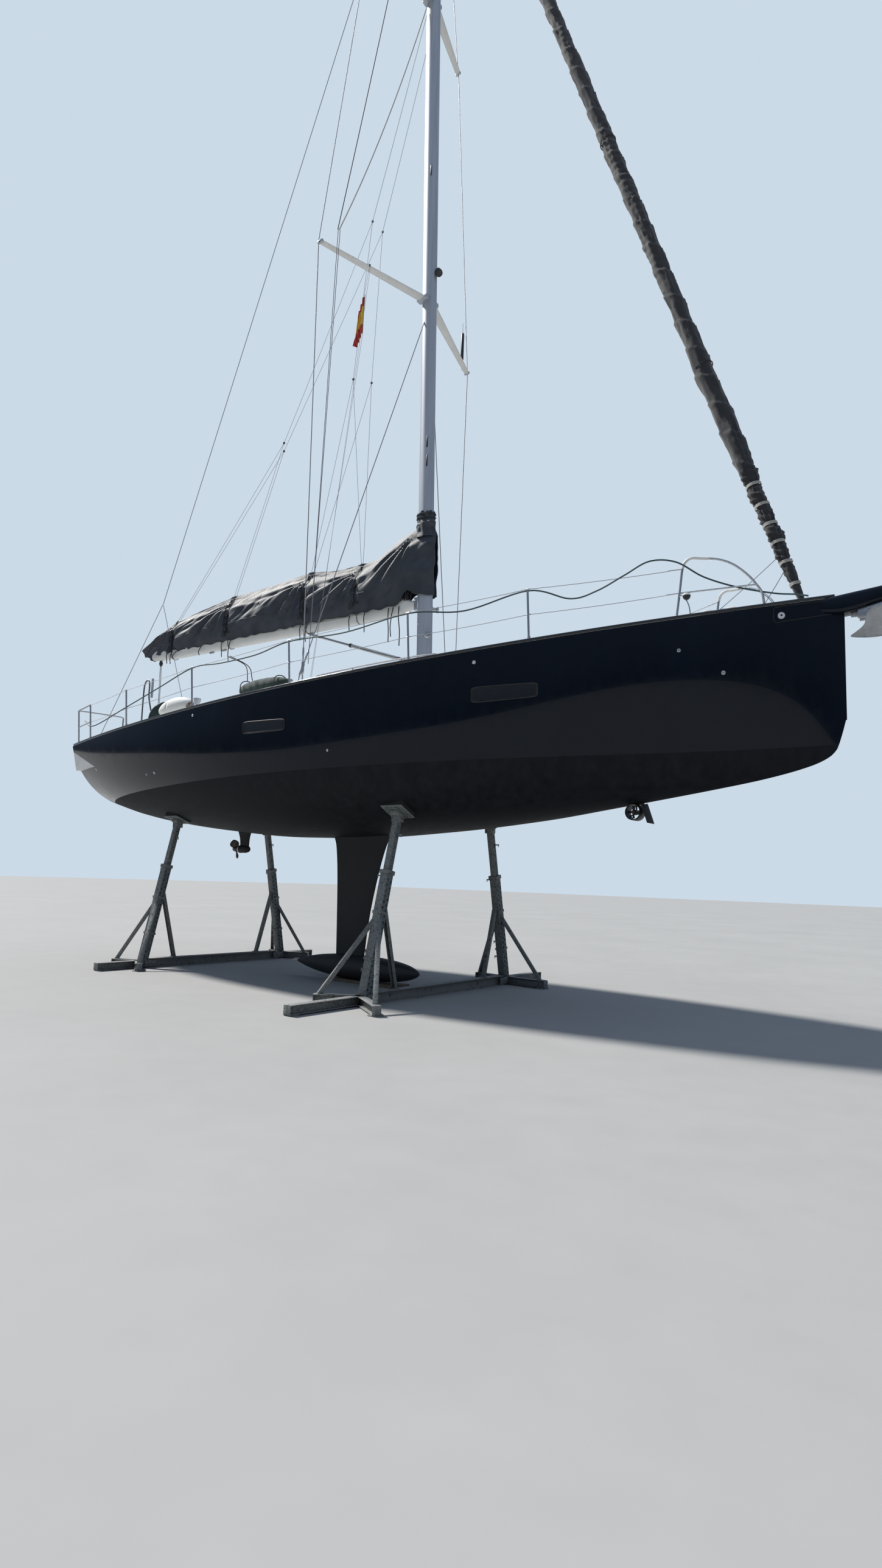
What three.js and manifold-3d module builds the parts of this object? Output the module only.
// Sailing yacht laid up ashore on a four-stand steel cradle. Millimetres, +X to the bow, +Y to port, +Z up.
// The ground is Z = 0. The origin is under the middle of the overall length.
import * as THREE from 'three';
import { mergeVertices } from 'three/addons/utils/BufferGeometryUtils.js';
import Module from 'manifold-3d';

const wasm = await Module();
wasm.setup();

// Driving dimensions
const GAP = 0.3;                 // left between pieces that touch
const LENGTH = 12200;            // hull, stem to transom
const SPRIT = 1000;              // bowsprit ahead of the stem
const STEM_X = (LENGTH - SPRIT) / 2;
const BEAM = 1900;               // greatest half beam
const STERN_BEAM = 1420;         // half beam at the transom
const WIDEST = 0.64;             // share of the length, from the stem, at which the hull is widest
const DECK_T = 20;
const CAMBER = 70;
const MAST_X = -5450;            // mast at the deck, measured from the stem
const MAST_RAKE = 0.029;         // metres aft for each metre up
const MAST_FOOT_Z = 4470;
const STEP_Z = 4350;              // underside of the mast step, let into the coachroof
const MAST_TOP_Z = 20900;
const BOOM_TURN = THREE.MathUtils.degToRad(5.15);  // the boom rests this far to starboard
const BOOM_LENGTH = 5700;
const BOOM_Z = 5465;

// Hull lines, x in mm from the stem (negative going aft)
// columns: x, z of the bottom on the centre line
const BOTTOM = [
  [0, 3230], [-40, 3080], [-90, 2935], [-170, 2855], [-350, 2775], [-770, 2670], [-1160, 2600],
  [-2280, 2430], [-3570, 2265], [-5200, 2140], [-6800, 2075], [-8000, 2090], [-9170, 2175],
  [-10310, 2295], [-11210, 2430], [-12200, 2640],
];
// columns: share of the length, fullness low down, fullness of the bilge
const SECTION = [
  [0, 2.0, 1.2], [0.15, 2.6, 1.5], [0.35, 4.2, 2.0], [0.5, 4.6, 2.2], [0.75, 3.0, 2.3], [1, 1.35, 2.6],
];
const STATIONS = [
  0, 0.0035, 0.008, 0.015, 0.03, 0.055, 0.09, 0.13, 0.18, 0.24, 0.3, 0.36, 0.42, 0.48, 0.54, 0.6, 0.66, 0.72,
  0.78, 0.84, 0.9, 0.95, 1,
];

const mm = (x) => STEM_X + x;    // from a length off the stem to the part's X
const lerp = THREE.MathUtils.lerp;

function table(rows, x, column = 1) {
  const up = rows[0][0] < rows[rows.length - 1][0];
  for (let i = 1; i < rows.length; i += 1) {
    const [a, b] = [rows[i - 1], rows[i]];
    if (up ? x <= b[0] : x >= b[0]) return lerp(a[column], b[column], (x - a[0]) / (b[0] - a[0]));
  }
  return rows[rows.length - 1][column];
}

function halfBeam(u) {
  if (u < WIDEST) return 16 + (BEAM - 16) * (1 - (1 - u / WIDEST) ** 1.95);
  return lerp(BEAM, STERN_BEAM, ((u - WIDEST) / (1 - WIDEST)) ** 2);
}

const sheer = (u) => 4520 - 1405 * u + 510 * u * u;
const deckZ = (u, y) => sheer(u) + CAMBER * (halfBeam(u) / BEAM) * (1 - (y / halfBeam(u)) ** 2);
const share = (x) => -x / LENGTH;

function sideY(u, z) {
  const top = sheer(u);
  const s = Math.min(1, Math.max(0, (top - z) / (top - table(BOTTOM, -u * LENGTH))));
  return halfBeam(u) * (1 - s ** table(SECTION, u, 1)) ** (1 / table(SECTION, u, 2));
}

// Geometry helpers
function closed(geometry) {
  const g = geometry.index ? geometry : mergeVertices(geometry);
  g.deleteAttribute('normal');
  g.deleteAttribute('uv');
  const merged = mergeVertices(g, 1e-4);
  const p = merged.attributes.position;
  const idx = merged.index.array;
  let volume = 0;
  const [a, b, c] = [new THREE.Vector3(), new THREE.Vector3(), new THREE.Vector3()];
  const kept = [];
  for (let i = 0; i < idx.length; i += 3) {
    if (idx[i] === idx[i + 1] || idx[i + 1] === idx[i + 2] || idx[i] === idx[i + 2]) continue;
    a.fromBufferAttribute(p, idx[i]);
    b.fromBufferAttribute(p, idx[i + 1]);
    c.fromBufferAttribute(p, idx[i + 2]);
    volume += a.dot(b.clone().cross(c));
    kept.push(idx[i], idx[i + 1], idx[i + 2]);
  }
  if (volume < 0) kept.reverse();
  merged.setIndex(kept);
  return merged;
}

// A solid skinned over closed rings of [x, y, z] points, each ring with as many points
function loft(rings) {
  const n = rings[0].length;
  const points = rings.flat();
  const index = [];
  for (let i = 0; i < rings.length - 1; i += 1) {
    for (let j = 0; j < n; j += 1) {
      const [a, b] = [i * n + j, i * n + (j + 1) % n];
      index.push(a, b, b + n, a, b + n, a + n);
    }
  }
  for (const [k, flip] of [[0, true], [rings.length - 1, false]]) {
    const centre = points.length;
    const sum = rings[k].reduce((s, q) => [s[0] + q[0], s[1] + q[1], s[2] + q[2]], [0, 0, 0]);
    points.push(sum.map((v) => v / n));
    for (let j = 0; j < n; j += 1) {
      const [a, b] = [k * n + j, k * n + (j + 1) % n];
      index.push(centre, flip ? b : a, flip ? a : b);
    }
  }
  const g = new THREE.BufferGeometry();
  g.setAttribute('position', new THREE.Float32BufferAttribute(points.flat(), 3));
  g.setIndex(index);
  return closed(g);
}

function box(x0, x1, y0, y1, z0, z1) {
  const g = new THREE.BoxGeometry(x1 - x0, y1 - y0, z1 - z0);
  g.translate((x0 + x1) / 2, (y0 + y1) / 2, (z0 + z1) / 2);
  return closed(g);
}

const vec = (p) => new THREE.Vector3(...p);

function between(geometry, a, b) {
  const [p, q] = [vec(a), vec(b)];
  const along = q.clone().sub(p).normalize();
  const turn = new THREE.Quaternion().setFromUnitVectors(new THREE.Vector3(0, 1, 0), along);
  geometry.applyQuaternion(turn);
  geometry.translate((a[0] + b[0]) / 2, (a[1] + b[1]) / 2, (a[2] + b[2]) / 2);
  return closed(geometry);
}

function rod(a, b, r, sides = 8, r2 = r) {
  return between(new THREE.CylinderGeometry(r2, r, vec(a).distanceTo(vec(b)), sides), a, b);
}

// A square bar from a to b, w across and d deep, with its depth lying as near to up as it can
function bar(a, b, w, d) {
  const [p, q] = [vec(a), vec(b)];
  const along = q.clone().sub(p);
  const length = along.length();
  along.normalize();
  const side = new THREE.Vector3(0, 0, 1).cross(along);
  if (side.length() < 0.05) side.set(0, 1, 0);
  side.normalize();
  const up = along.clone().cross(side).normalize();
  const g = new THREE.BoxGeometry(length, w, d);
  g.applyMatrix4(new THREE.Matrix4().makeBasis(along, side, up));
  g.translate((a[0] + b[0]) / 2, (a[1] + b[1]) / 2, (a[2] + b[2]) / 2);
  return closed(g);
}

function toManifold(g) {
  return new wasm.Manifold(new wasm.Mesh({
    numProp: 3,
    vertProperties: new Float32Array(g.attributes.position.array),
    triVerts: new Uint32Array(g.index.array),
  }));
}

function fromManifold(m) {
  const mesh = m.getMesh();
  const g = new THREE.BufferGeometry();
  g.setAttribute('position', new THREE.Float32BufferAttribute(Array.from(mesh.vertProperties), 3));
  g.setIndex(Array.from(mesh.triVerts));
  return g;
}

const join = (...parts) => fromManifold(parts.map(toManifold).reduce((a, b) => a.add(b)));
const cut = (body, ...tools) => fromManifold(
  tools.map(toManifold).reduce((a, b) => a.subtract(b), toManifold(body)),
);

const parts = new THREE.Group();
const PAINT = {
  topside: [0x0b0d11, 0.12, 0.0],
  bottom: [0x1b1d20, 0.75, 0.0],
  deck: [0xe6e6e2, 0.55, 0.0],
  alloy: [0xc9ccd0, 0.35, 0.8],
  white: [0xe9e7df, 0.4, 0.0],
  steel: [0xb8bcc0, 0.25, 0.9],
  bronze: [0x6f6a5c, 0.4, 0.8],
  wire: [0x8d9196, 0.35, 0.9],
  cloth: [0x26282c, 0.9, 0.0],
  glass: [0x15181b, 0.1, 0.0],
  zinc: [0x9a9c9c, 0.55, 0.6],
  cradle: [0x7f918c, 0.7, 0.2],
  board: [0x7a6a55, 0.85, 0.0],
  black: [0x141517, 0.5, 0.0],
};

function add(name, geometry, paint) {
  const [color, roughness, metalness] = PAINT[paint];
  const mesh = new THREE.Mesh(geometry, new THREE.MeshStandardMaterial({ color, roughness, metalness }));
  mesh.name = name;
  parts.add(mesh);
}

const SIDES = [['starboard', -1], ['port', 1]];

// Hull and deck
const DEPTHS = [0, 0.12, 0.26, 0.4, 0.54, 0.67, 0.78, 0.87, 0.94, 0.985, 1];
const ACROSS = [-1, -0.75, -0.5, -0.25, 0, 0.25, 0.5, 0.75, 1];

function hullRing(u) {
  const x = mm(-u * LENGTH);
  const top = sheer(u);
  const low = table(BOTTOM, -u * LENGTH);
  const side = DEPTHS.map((s) => {
    const z = s === 0 ? top - DECK_T - GAP : top - s * (top - low);
    return [x, sideY(u, z), z];
  });
  const starboard = side.map(([, y, z]) => [x, -y, z]);
  const port = side.slice(0, -1).reverse();
  const b = side[0][1];
  const roof = ACROSS.slice(1, -1).reverse().map((t) => [x, t * b, deckZ(u, t * halfBeam(u)) - DECK_T - GAP]);
  return [...starboard, ...port, ...roof];
}

function deckRing(u) {
  const x = mm(-u * LENGTH);
  const b = halfBeam(u);
  const low = ACROSS.map((t) => [x, t * sideY(u, sheer(u) - DECK_T), deckZ(u, t * b) - DECK_T]);
  const top = ACROSS.map((t) => [x, t * b, deckZ(u, t * b)]).reverse();
  return [...low, ...top];
}

// Cockpit: footwell, benches and helm space; companionway pit; fore hatch pit; the slot that takes the bowsprit
const WELL_Z = 3260;
const HELM_Z = 3300;
const BENCH_Z = 3600;
const wells = [
  box(mm(-9900), mm(-8100), -380, 380, WELL_Z, 5000),
  box(mm(-9901), mm(-8100), -860, 860, BENCH_Z, 5000),
  box(mm(-11500), mm(-9900), -1000, 1000, HELM_Z, 5000),
];
const pit = box(mm(-7850), mm(-7250), -290, 290, 2900, 5000);
const forePit = box(mm(-2900), mm(-2400), -245, 245, 4000, 5000);

function spritBody(grow) {
  const rows = [
    [-480, 108, 4340, 4532], [0, 108, 4322, 4527], [360, 96, 4385, 4545], [SPRIT, 62, 4500, 4610],
  ];
  return loft(rows.map(([x, w, z0, z1]) => {
    const X = mm(x) - (x < 0 ? grow : 0);
    const [wide, low, high] = [w + grow, z0 - grow, z1 + grow];
    return [[X, -wide, low], [X, wide, low], [X, wide, high], [X, -wide, high]];
  }));
}
const slot = box(mm(-480) - GAP, mm(60), -108 - GAP, 108 + GAP, 4320 - GAP, 5000);

add('hull', cut(loft(STATIONS.map(hullRing)), ...wells, pit, forePit, slot), 'topside');
add('deck', cut(loft(STATIONS.map(deckRing)), ...wells, pit, forePit, slot), 'deck');
add('bowsprit', spritBody(0), 'topside');

// Coachroof, its foot on the deck; columns: x, half width, height over the deck
const ROOF = [
  [-3750, 520, 60], [-4000, 600, 170], [-4500, 740, 270], [-5200, 880, 320],
  [-6200, 980, 350], [-7200, 1000, 370], [-8040, 980, 375],
];
function roofRing([x, w, h]) {
  const X = mm(x);
  const u = share(x);
  const foot = ACROSS.map((t) => [X, t * w, deckZ(u, t * w) - 10]);
  const z = deckZ(u, 0) + h;
  const top = [[w * 0.97, -h * 0.45], [w * 0.86, -h * 0.12], [w * 0.55, -12], [0, 0]];
  const port = top.map(([y, dz]) => [X, y, z + dz]);
  const starboard = top.slice(0, -1).reverse().map(([y, dz]) => [X, -y, z + dz]);
  return [...foot, ...port, ...starboard];
}
const roofTop = (x) => deckZ(share(x), 0) + table(ROOF, x, 2);
const onDeck = loft(STATIONS.map(deckRing));
onDeck.translate(0, 0, GAP);
const seat = (g) => cut(g, onDeck);
const stepSlot = box(mm(MAST_X) - 260, mm(MAST_X) + 260, -200, 200, STEP_Z - GAP, 5200);
add('coachroof', cut(seat(loft(ROOF.map(roofRing))), pit, stepSlot), 'deck');
const SLIDE = { back: -7960, front: -7190, width: 680, thick: 40, lift: 20.6 };
const slideEnd = (x) => [mm(x), 0, roofTop(x) + SLIDE.lift];
add('companionway_hatch', bar(slideEnd(SLIDE.back), slideEnd(SLIDE.front), SLIDE.width, SLIDE.thick), 'black');
add('mast_step', box(mm(MAST_X) - 240, mm(MAST_X) + 240, -180, 180, STEP_Z, MAST_FOOT_Z - GAP), 'alloy');
const LID = { back: -2930, front: -2370, width: 550, thick: 34, lift: 17.4 };
const lidEnd = (x) => [mm(x), 0, deckZ(share(x), 0) + LID.lift];
add('fore_hatch', bar(lidEnd(LID.back), lidEnd(LID.front), LID.width, LID.thick), 'glass');

// Keel: fin and bulb
function foilRing(front, back, z, thickness, sides = 7) {
  const ring = [];
  for (let i = 0; i <= sides; i += 1) {
    const t = i / sides;
    const shape = 0.2969 * Math.sqrt(t) - 0.126 * t - 0.3516 * t * t + 0.2843 * t ** 3 - 0.08 * t ** 4;
    const w = thickness * 2.6 * shape;
    ring.push([mm(lerp(front, back, t)), w + 2, z]);
  }
  return [...ring, ...ring.slice().reverse().map(([x, y]) => [x, -y, z])];
}
const finRings = [
  foilRing(-6370, -6895, 250, 120), foilRing(-6290, -6920, 900, 130), foilRing(-6160, -6950, 1500, 145),
  foilRing(-6020, -7000, 1950, 160), foilRing(-5900, -7090, 2130, 190),
];
const hullCopy = () => loft(STATIONS.map(hullRing));
// columns: x, radius across, radius up
const BULB = [
  [-5340, 12, 12], [-5400, 62, 55], [-5560, 120, 108], [-5850, 178, 150], [-6250, 208, 172], [-6650, 192, 172],
  [-7100, 145, 140], [-7450, 80, 84], [-7700, 14, 20],
];
const BOARD = 35;
const BULB_Z = BOARD + GAP + 172;
const bulb = loft(BULB.map(([x, ry, rz]) => {
  const ring = [];
  for (let i = 0; i < 14; i += 1) {
    const a = (i / 14) * Math.PI * 2 + Math.PI / 14;
    ring.push([mm(x), ry * Math.cos(a), BULB_Z + rz * Math.sin(a)]);
  }
  return ring;
}));
const lowered = hullCopy();
lowered.translate(0, 0, -GAP);
const raised = bulb.clone();
raised.translate(0, 0, GAP);
add('keel_fin', cut(loft(finRings), lowered, raised), 'bottom');
add('keel_bulb', bulb, 'bottom');
add('keel_board', box(mm(-6900), mm(-5650), -190, 190, 0, BOARD), 'board');

// Saildrive leg and folding propeller
const leg = loft([
  foilRing(-9010, -9210, 1880, 75, 5),
  foilRing(-9000, -9230, 2050, 80, 5),
  foilRing(-8960, -9290, 2260, 100, 5),
]);
const drive = join(leg, rod([mm(-8990), 0, 1890], [mm(-9275), 0, 1890], 62, 12, 52));
add('saildrive', cut(drive, lowered), 'bottom');
const HUB_X = mm(-9275);
function blade(turn, x, z, size, width) {
  const g = new THREE.CylinderGeometry(size * 0.5, size * 0.5, 10, 10);
  g.scale(width, 1, 1);
  g.rotateZ(Math.PI / 2);
  g.applyMatrix4(new THREE.Matrix4().makeRotationY(0.5));
  g.translate(x, 0, size * 0.44 + 10);
  g.rotateX(turn);
  g.translate(0, 0, z);
  return closed(g);
}
const hub = rod([HUB_X - GAP, 0, 1890], [HUB_X - 120, 0, 1890], 44, 12, 22);
const blades = [0.35, Math.PI + 0.35].map((turn) => blade(turn, HUB_X - 60, 1890, 165, 0.9));
add('propeller', join(hub, ...blades), 'bronze');

// Retractable bow thruster, let down out of its bay
const THRUST_X = mm(-2250);
const thrusterZ = 2345;
const DUCT_R = 96;
const duct = cut(
  rod([THRUST_X, -80, thrusterZ], [THRUST_X, 80, thrusterZ], DUCT_R, 16),
  rod([THRUST_X, -200, thrusterZ], [THRUST_X, 200, thrusterZ], DUCT_R - 12, 16),
);
const arm = box(THRUST_X - 35, THRUST_X + 35, -45, 45, thrusterZ + DUCT_R - 8, 2600);
const motor = rod([THRUST_X, -15.6, thrusterZ], [THRUST_X, 70, thrusterZ], 30, 10);
const strut = box(THRUST_X - 9, THRUST_X + 9, 20, 60, thrusterZ, thrusterZ + DUCT_R - 6);
const door = bar([THRUST_X + 112, 0, thrusterZ + 96], [THRUST_X + 190, 0, thrusterZ - 130], 200, 12);
const doorArm = bar([THRUST_X + 20, 0, thrusterZ + DUCT_R + 10], [THRUST_X + 122, 0, thrusterZ + 82], 60, 26);
add('bow_thruster', cut(join(duct, arm, motor, strut, door, doorArm), lowered), 'black');
function fanBlade(turn) {
  const g = new THREE.BoxGeometry(34, 12, 54);
  g.rotateZ(0.5);
  g.translate(0, -42, 46);
  g.rotateY(turn);
  g.translate(THRUST_X, 0, thrusterZ);
  return closed(g);
}
const fanHub = rod([THRUST_X, -16, thrusterZ], [THRUST_X, -66, thrusterZ], 30, 10, 20);
add('thruster_propeller', join(fanHub, ...[0, 1, 2, 3].map((k) => fanBlade((k * Math.PI) / 2))), 'black');

// Mast and standing rigging
const mastX = (z) => mm(MAST_X) - MAST_RAKE * (z - 4200);
function mastRing(z, scale) {
  const ring = [];
  for (let i = 0; i < 14; i += 1) {
    const a = (i / 14) * Math.PI * 2;
    ring.push([mastX(z) + 125 * scale * Math.cos(a), 82 * scale * Math.sin(a), z]);
  }
  return ring;
}
const mastBody = (grow) => loft([[MAST_FOOT_Z, 1], [17500, 1], [19600, 0.78], [MAST_TOP_Z, 0.66]]
  .map(([z, k]) => mastRing(z, k * grow)));
const aroundMast = mastBody(1.004);
add('mast', mastBody(1), 'alloy');

// columns: level name, z of the root, z of the tip, half span, sweep aft
const SPREADERS = [['lower', 10225, 10245, 1805, 555], ['upper', 15515, 15525, 1190, 360]];
for (const [level, zRoot, zTip, span, sweep] of SPREADERS) {
  for (const [side, s] of SIDES) {
    const root = [mastX(zRoot) - 20, s * 50, zRoot];
    const tip = [mastX(zRoot) - sweep, s * (span - 8.5), zTip];
    const wing = loft([[root, 78, 26], [tip, 46, 16]].map(([p, chord, t]) => [
      [p[0] + chord, p[1], p[2]],
      [p[0] + chord * 0.3, p[1], p[2] + t],
      [p[0] - chord * 0.6, p[1], p[2] + t * 0.7],
      [p[0] - chord, p[1], p[2]],
      [p[0] - chord * 0.6, p[1], p[2] - t * 0.7],
      [p[0] + chord * 0.3, p[1], p[2] - t],
    ]));
    add(`spreader_${level}_${side}`, cut(wing, aroundMast), 'white');
  }
}

const CHAIN_X = -6150;
const chainY = halfBeam(share(CHAIN_X)) - 130;
const chainZ = deckZ(share(CHAIN_X), chainY);
const [LOW, HIGH] = SPREADERS;
const DIAGONAL_TOP = 9950;
const CAP_TOP = 20600;
function tipOf([, zRoot, zTip, span, sweep], s, dz, inset = 0) {
  return [mastX(zRoot) - sweep, s * (span - inset), zTip + dz];
}
for (const [side, s] of SIDES) {
  const stayAtMast = (z, dx, y) => [mastX(z) - dx, s * y, z];
  const plate = (x) => [mm(x), s * chainY, chainZ + 60];
  add(`chainplate_${side}`, seat(box(mm(CHAIN_X) - 130, mm(CHAIN_X) + 40, s * chainY - 9, s * chainY + 9,
    chainZ - 12, chainZ + 58 - GAP)), 'steel');
  add(`shroud_cap_low_${side}`, rod(plate(CHAIN_X), tipOf(LOW, s, -0.8), 7, 6), 'wire');
  const diagonal = rod(plate(CHAIN_X - 90), stayAtMast(DIAGONAL_TOP, 20, 50), 7, 6);
  add(`shroud_diagonal_low_${side}`, cut(diagonal, aroundMast), 'wire');
  add(`shroud_cap_mid_${side}`, rod(tipOf(LOW, s, 0.8), tipOf(HIGH, s, -0.8), 6, 6), 'wire');
  const capTop = rod(tipOf(HIGH, s, 17.2, 16), stayAtMast(CAP_TOP, 0, 30), 6, 6);
  add(`shroud_cap_top_${side}`, cut(capTop, aroundMast), 'wire');
}

// Furled headsail on its stay, in its cover; its foot stands on a plate at the stem head
const STAY_HEAD_Z = 20500;
const stayFoot = [mm(-395), 0, 4550];
const stayHead = [mastX(STAY_HEAD_Z) + 60, 0, STAY_HEAD_Z];
const stayTilt = Math.atan2(stayFoot[0] - stayHead[0], stayHead[2] - stayFoot[2]);
const onStay = (t) => stayFoot.map((v, i) => lerp(v, stayHead[i], t));
// columns: share of the stay's length, radius of the sail rolled round it
const ROLL = [
  [0, 38], [0.012, 52], [0.04, 74], [0.1, 88], [0.14, 110],
  [0.18, 98], [0.5, 92], [0.85, 74], [0.97, 40], [1, 14],
];
function rollRing([t, r]) {
  const c = onStay(t);
  const ring = [];
  for (let i = 0; i < 12; i += 1) {
    const a = (i / 12) * Math.PI * 2;
    const across = r * Math.cos(a);
    ring.push([c[0] + across * Math.cos(stayTilt), r * Math.sin(a), c[2] + across * Math.sin(stayTilt)]);
  }
  return ring;
}
add('furled_headsail', cut(loft(ROLL.map(rollRing)), aroundMast), 'cloth');

// Backstay, split into two legs above the cockpit
const SPLIT = [mm(-11960), 0, 6600];
const BACKSTAY_TOP = 20780;
add('backstay', cut(rod(SPLIT, [mastX(BACKSTAY_TOP) - 50, 0, BACKSTAY_TOP], 6, 6), aroundMast), 'wire');
for (const [side, s] of SIDES) {
  add(`backstay_leg_${side}`, seat(rod([mm(-12080), s * 1080, deckZ(0.99, 1080) - 8],
    [SPLIT[0] - 2, s * 7, SPLIT[2] - 8], 6, 6)), 'wire');
}

// Boom, its cover, and the strut below it; all turn about the gooseneck
const PIVOT_X = mastX(BOOM_Z) - 165;
function alongBoom(d, y, z) {
  const [c, s] = [Math.cos(BOOM_TURN), Math.sin(BOOM_TURN)];
  return [PIVOT_X - d * c - y * s, -d * s + y * c, z];
}
const boomDrop = (d) => BOOM_Z - (d / BOOM_LENGTH) * 110;
function boomRing(d, wide, deep) {
  const ring = [];
  for (let i = 0; i < 12; i += 1) {
    const a = (i / 12) * Math.PI * 2;
    ring.push(alongBoom(d, wide * Math.cos(a), boomDrop(d) + deep * Math.sin(a)));
  }
  return ring;
}
// columns: distance aft of the gooseneck, half width, half depth
const BOOM = [
  [16.4, 40, 56], [70, 56, 58], [170, 78, 125], [400, 82, 132],
  [4800, 80, 125], [5640, 68, 100], [BOOM_LENGTH, 52, 80],
];
const boomBody = (grow) => loft(BOOM.map(
  ([d, w, h]) => boomRing(d < BOOM_LENGTH ? d : d + grow, w + grow, h + grow),
));
add('boom', boomBody(0), 'white');
// columns: distance aft of the gooseneck, half width, top of the cover
const COVER = [
  [330, 190, 6560], [700, 200, 6400], [1100, 205, 6320], [1900, 200, 6285], [2700, 190, 6245],
  [3500, 175, 6180], [4300, 155, 6060], [5000, 130, 5850], [5500, 105, 5660], [5900, 70, 5490],
];
add('boom_cover', cut(loft(COVER.map(([d, w, top]) => {
  const low = boomDrop(d) + 20;
  const mid = (low + top) / 2;
  return [[-90, low], [-w * 0.8, lerp(low, mid, 0.4)], [-w, mid], [-w * 0.75, lerp(mid, top, 0.6)], [0, top],
    [w * 0.75, lerp(mid, top, 0.6)], [w, mid], [w * 0.8, lerp(low, mid, 0.4)], [90, low]]
    .map(([y, z]) => alongBoom(d, y, z));
})), boomBody(GAP)), 'cloth');
const vangTop = alongBoom(1980, 0, boomDrop(1980) - 100);
add('vang', cut(rod(alongBoom(90, 0, 4620), vangTop, 27, 10), boomBody(GAP)), 'white');
add('boom_gooseneck', cut(join(rod(alongBoom(0, 0, BOOM_Z - 90), alongBoom(0, 0, BOOM_Z + 90), 16, 10),
  box(PIVOT_X - 20, mastX(BOOM_Z) - 110, -30, 30, BOOM_Z - 92, BOOM_Z - 68),
  box(PIVOT_X - 20, mastX(BOOM_Z) - 110, -30, 30, BOOM_Z + 68, BOOM_Z + 92)), aroundMast), 'alloy');
add('mast_cover', cut(
  loft([[5560, 0.94], [5700, 1], [6400, 1], [6600, 0.92], [6790, 0.86]].map(([z, k]) => {
    const ring = [];
    for (let i = 0; i < 14; i += 1) {
      const a = (i / 14) * Math.PI * 2;
      ring.push([mastX(z) + 172 * k * Math.cos(a) - 22, 128 * k * Math.sin(a), z]);
    }
    return ring;
  })),
  aroundMast,
), 'cloth');

// Pulpit, pushpit rails and guard rails, each side its own piece
const LEAN = 0.09;               // outboard for each unit up
const railPoint = (x, inset, up) => {
  const u = share(x);
  const y = halfBeam(u) - inset;
  return [mm(x), y + LEAN * up, deckZ(u, y) + up];
};
// columns: x, y, z along the pulpit's top tube and down to its front foot
const ARCH = [
  [-1465, 600, 4920], [-1433, 592, 4995], [-1370, 582, 5026], [-1290, 560, 5014],
  [-1112, 500, 4986], [-968, 450, 4915], [-845, 390, 4801], [-766, 340, 4693],
  [-717, 300, 4596], [-704, 268, deckZ(share(-704), 268) - 8],
];
const flipY = (s, p) => [p[0], s * p[1], p[2]];
const POSTS = [-3060, -4520, -6300, -8250, -10100];
for (const [side, s] of SIDES) {
  const at = (x, inset, up) => flipY(s, railPoint(x, inset, up));
  const wires = [];
  const stops = [...POSTS, -11500];
  for (const [up, x, y, z] of [[612, -1465, 600, 4915], [320, -1484, 602, 4650]]) {
    wires.push(rod([mm(x), s * y, z], at(stops[0], 65, up), 4, 5));
    for (let i = 1; i < stops.length; i += 1) {
      wires.push(rod(at(stops[i - 1], 65, up), at(stops[i], 65, up), 4, 5));
    }
  }
  const posts = POSTS.map((x) => rod(at(x, 65, -10), at(x, 65, 622), 12.5, 8));
  const arch = ARCH.map(([x, y, z]) => [mm(x), s * y, z]);
  const foot = [mm(-1532), s * 606, deckZ(share(-1532), 606) - 8];
  const bow = [rod(foot, arch[0], 12.5, 8), rod([mm(-1484), s * 602, 4650], arch[7], 9, 8)];
  for (let i = 1; i < arch.length; i += 1) bow.push(rod(arch[i - 1], arch[i], 12.5, 8));
  const stern = [
    rod(at(-11500, 65, -10), at(-11500, 65, 622), 12.5, 8),
    rod(at(-11500, 65, 612), at(-12080, 70, 612), 12.5, 8),
    rod(at(-12080, 70, -10), at(-12080, 70, 622), 12.5, 8),
    rod(at(-11500, 65, 320), at(-12080, 70, 320), 12.5, 8),
    rod(at(-12080, 70, 612), flipY(s, [mm(-12090), 560, deckZ(0.99, 560) + 600]), 12.5, 8),
    rod(flipY(s, [mm(-12090), 560, deckZ(0.99, 560) + 612]),
      flipY(s, [mm(-12090), 560, deckZ(0.99, 560) - 10]), 12.5, 8),
  ];
  add(`guard_rail_${side}`, seat(join(...wires, ...posts, ...bow, ...stern)), 'steel');
}

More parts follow.
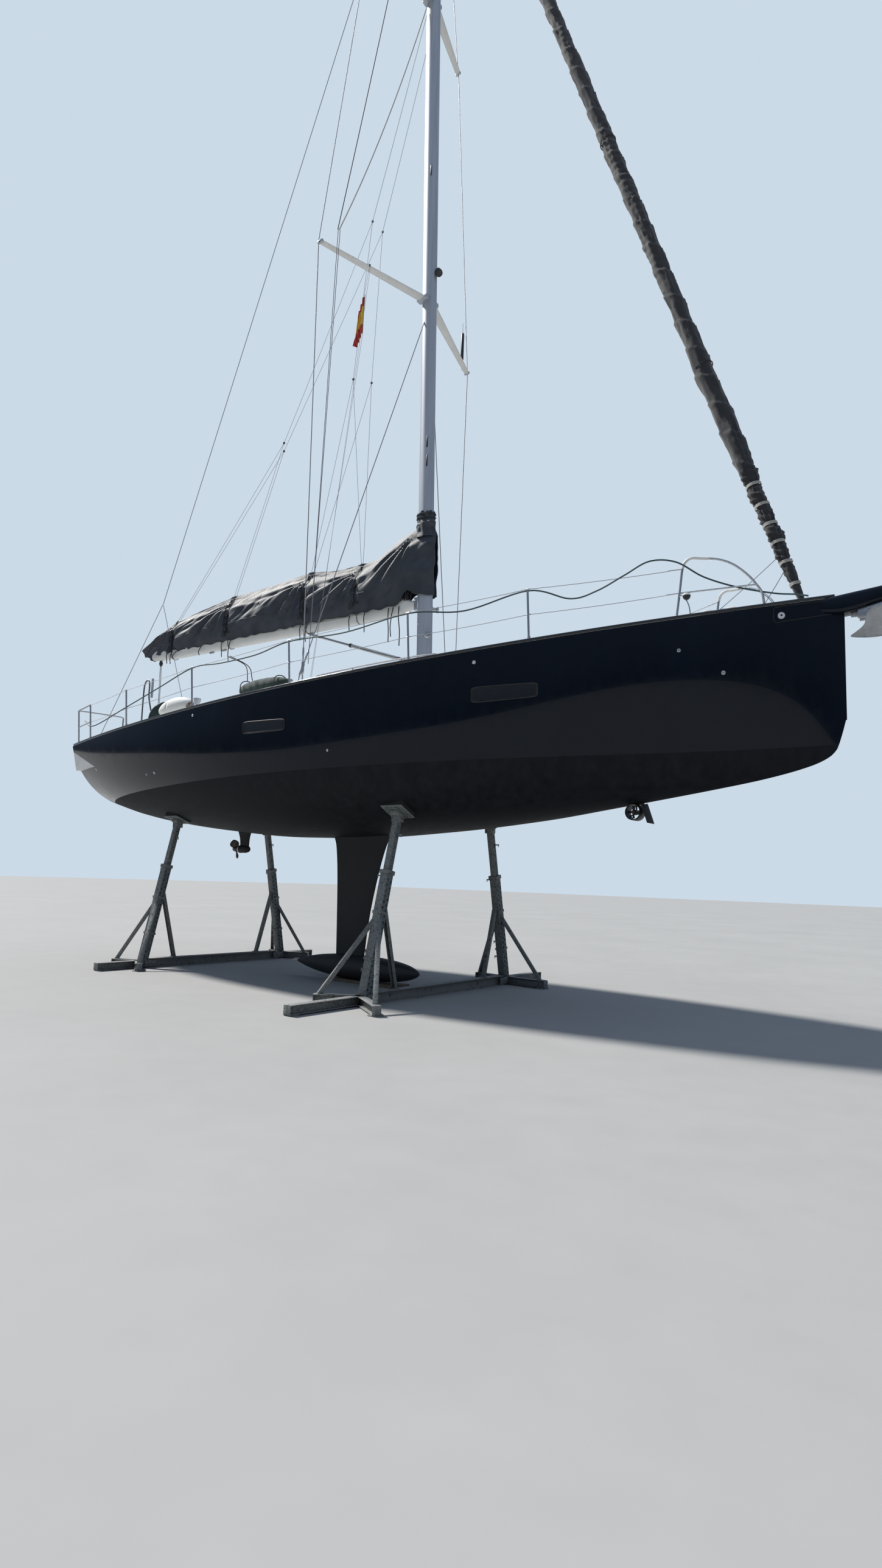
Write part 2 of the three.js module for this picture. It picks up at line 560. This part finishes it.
// Steering pedestals, wheels and winches
const WHEEL_X = mm(-10480);
for (const [side, s] of SIDES) {
  const y = s * 620;
  add(`helm_pedestal_${side}`, loft([
    [[-70, 0], [230, 0]], [[-50, 700], [150, 700]], [[-25, 880], [90, 880]],
  ].map(([[x0, z0], [x1, z1]]) => [
    [WHEEL_X + 60 + x0, y - 75, HELM_Z + GAP + z0], [WHEEL_X + 60 + x1, y - 75, HELM_Z + GAP + z1],
    [WHEEL_X + 60 + x1, y + 75, HELM_Z + GAP + z1], [WHEEL_X + 60 + x0, y + 75, HELM_Z + GAP + z0],
  ])), 'deck');
  const wheelZ = HELM_Z + 690;
  const ring = new THREE.TorusGeometry(400, 15, 6, 20);
  ring.rotateY(Math.PI / 2);
  ring.translate(WHEEL_X - 60, y, wheelZ);
  const spokes = [0, 1, 2].map((k) => {
    const a = (k * Math.PI) / 3;
    const [dy, dz] = [398 * Math.cos(a), 398 * Math.sin(a)];
    return rod([WHEEL_X - 60, y - dy, wheelZ - dz], [WHEEL_X - 60, y + dy, wheelZ + dz], 8, 6);
  });
  const boss = rod([WHEEL_X - 90, y, wheelZ], [WHEEL_X + 8.2, y, wheelZ], 34, 12);
  add(`steering_wheel_${side}`, join(closed(ring), ...spokes, boss), 'steel');
  const u = share(-9300);
  const base = deckZ(u, 1250) - 8;
  const lathe = (rows, z) => {
    const g = new THREE.LatheGeometry(rows.map(([r, h]) => new THREE.Vector2(r, h)), 14);
    g.rotateX(Math.PI / 2);
    g.translate(mm(-9300), s * 1250, z);
    return closed(g);
  };
  add(`winch_base_${side}`, seat(lathe([[0, 0], [98, 0], [98, 30], [84, 36], [0, 36]], base)), 'steel');
  add(`winch_${side}`, lathe([[0, 0], [76, 0], [66, 12], [60, 67], [78, 90], [78, 122], [30, 130], [0, 130]],
    base + 36 + GAP), 'steel');
}

// Anchor under the bowsprit
const anchorBody = join(
  bar([mm(60), 0, 4262], [mm(760), 0, 4300], 26, 46),
  loft([[[mm(90), 4250], 20, 10], [[mm(220), 4110], 150, 8], [[mm(520), 4050], 12, 7]].map(([[x, z], w, t]) => [
    [x, -w, z + w * 0.25], [x, 0, z - t], [x, w, z + w * 0.25], [x, w, z + w * 0.25 + 12], [x, 0, z + t],
    [x, -w, z + w * 0.25 + 12],
  ])),
  bar([mm(80), 0, 4262], [mm(240), 0, 4112], 30, 40),
  box(mm(480), mm(600), -40, 40, 4300, 4470),
);
add('anchor', cut(anchorBody, spritBody(GAP)), 'zinc');

// Cradle: four stands, the two of each frame joined by a cross beam
const BEAM_Z = 140;
const TUBE_TOP = 1560;           // upper end of a stand's lower tube
// columns: name, x, foot half spacing, pad half spacing
const FRAMES = [['forward', -4950, 1540, 1050], ['aft', -9650, 1400, 935]];
// Legs of each stand from its foot, as [forward, outboard]
// columns: front leg's end, back leg's end, outrigger's length
const LEGS = {
  forward_starboard: [[660, 520], [-450, 380], 1210],
  forward_port: [[690, 20], [-560, 120], 1000],
  aft_starboard: [[400, 320], [-450, 200], 760],
  aft_port: [[400, 320], [-450, 200], 760],
};
for (const [end, x, foot, padY] of FRAMES) {
  const X = mm(x);
  const u = share(x);
  const inner = foot - 104;      // where the stand's own base meets the cross beam
  const reach = inner - GAP;
  add(`cradle_beam_${end}`, join(
    box(X - 60, X + 60, -reach, reach, 0, 12),
    box(X - 6, X + 6, -reach, reach, 10, BEAM_Z - 10),
    box(X - 60, X + 60, -reach, reach, BEAM_Z - 12, BEAM_Z),
  ), 'cradle');
  const height = (y) => {
    let z = table(BOTTOM, x);
    while (z < 4500 && sideY(u, z) < y) z += 2;
    return z;
  };
  const bottom = height(padY);
  const slope = Math.atan2(height(padY + 90) - height(padY - 90), 180);
  for (const [side, s] of SIDES) {
    const [[fx, fy], [bx, by], out] = LEGS[`${end}_${side}`];
    const at = (dx, y, z) => [X + dx, s * y, z];
    const plate = (wx, wy, low, high) => {
      const g = box(-wx / 2, wx / 2, -wy / 2, wy / 2, low, high);
      g.rotateX(s * slope);
      g.translate(X, s * padY, bottom);
      return closed(g);
    };
    const top = bottom - 50;
    const lean = (z) => lerp(foot, padY, (z - 60) / (top - 60));
    const brace = (dx, y, z, up) => bar(at(dx, y, z), at(0, lean(up), up), 52, 46);
    add(`cradle_stand_${end}_${side}`, join(
      bar(at(0, foot + 10, 20), at(0, lean(TUBE_TOP), TUBE_TOP), 118, 118),
      bar(at(0, lean(TUBE_TOP - 90), TUBE_TOP - 90), at(0, lean(top), top), 86, 86),
      plate(340, 300, -48, -30),
      box(X - 55, X + 55, Math.min(s * inner, s * (foot + out)), Math.max(s * inner, s * (foot + out)), 0, 116),
      bar(at(0, foot + 60, 58), at(fx, foot + fy, 58), 104, 112),
      bar(at(0, foot + 60, 58), at(bx, foot + by, 58), 104, 112),
      brace(fx * 0.86, foot + fy * 0.86, 100, 1060),
      brace(bx * 0.9, foot + by * 0.9, 100, 1080),
      brace(0, foot - 560, BEAM_Z + 28, 1260),
    ), 'cradle');
    add(`cradle_pad_${end}_${side}`, cut(plate(320, 280, -30 + GAP, 25), lowered), 'board');
  }
}

export default parts;
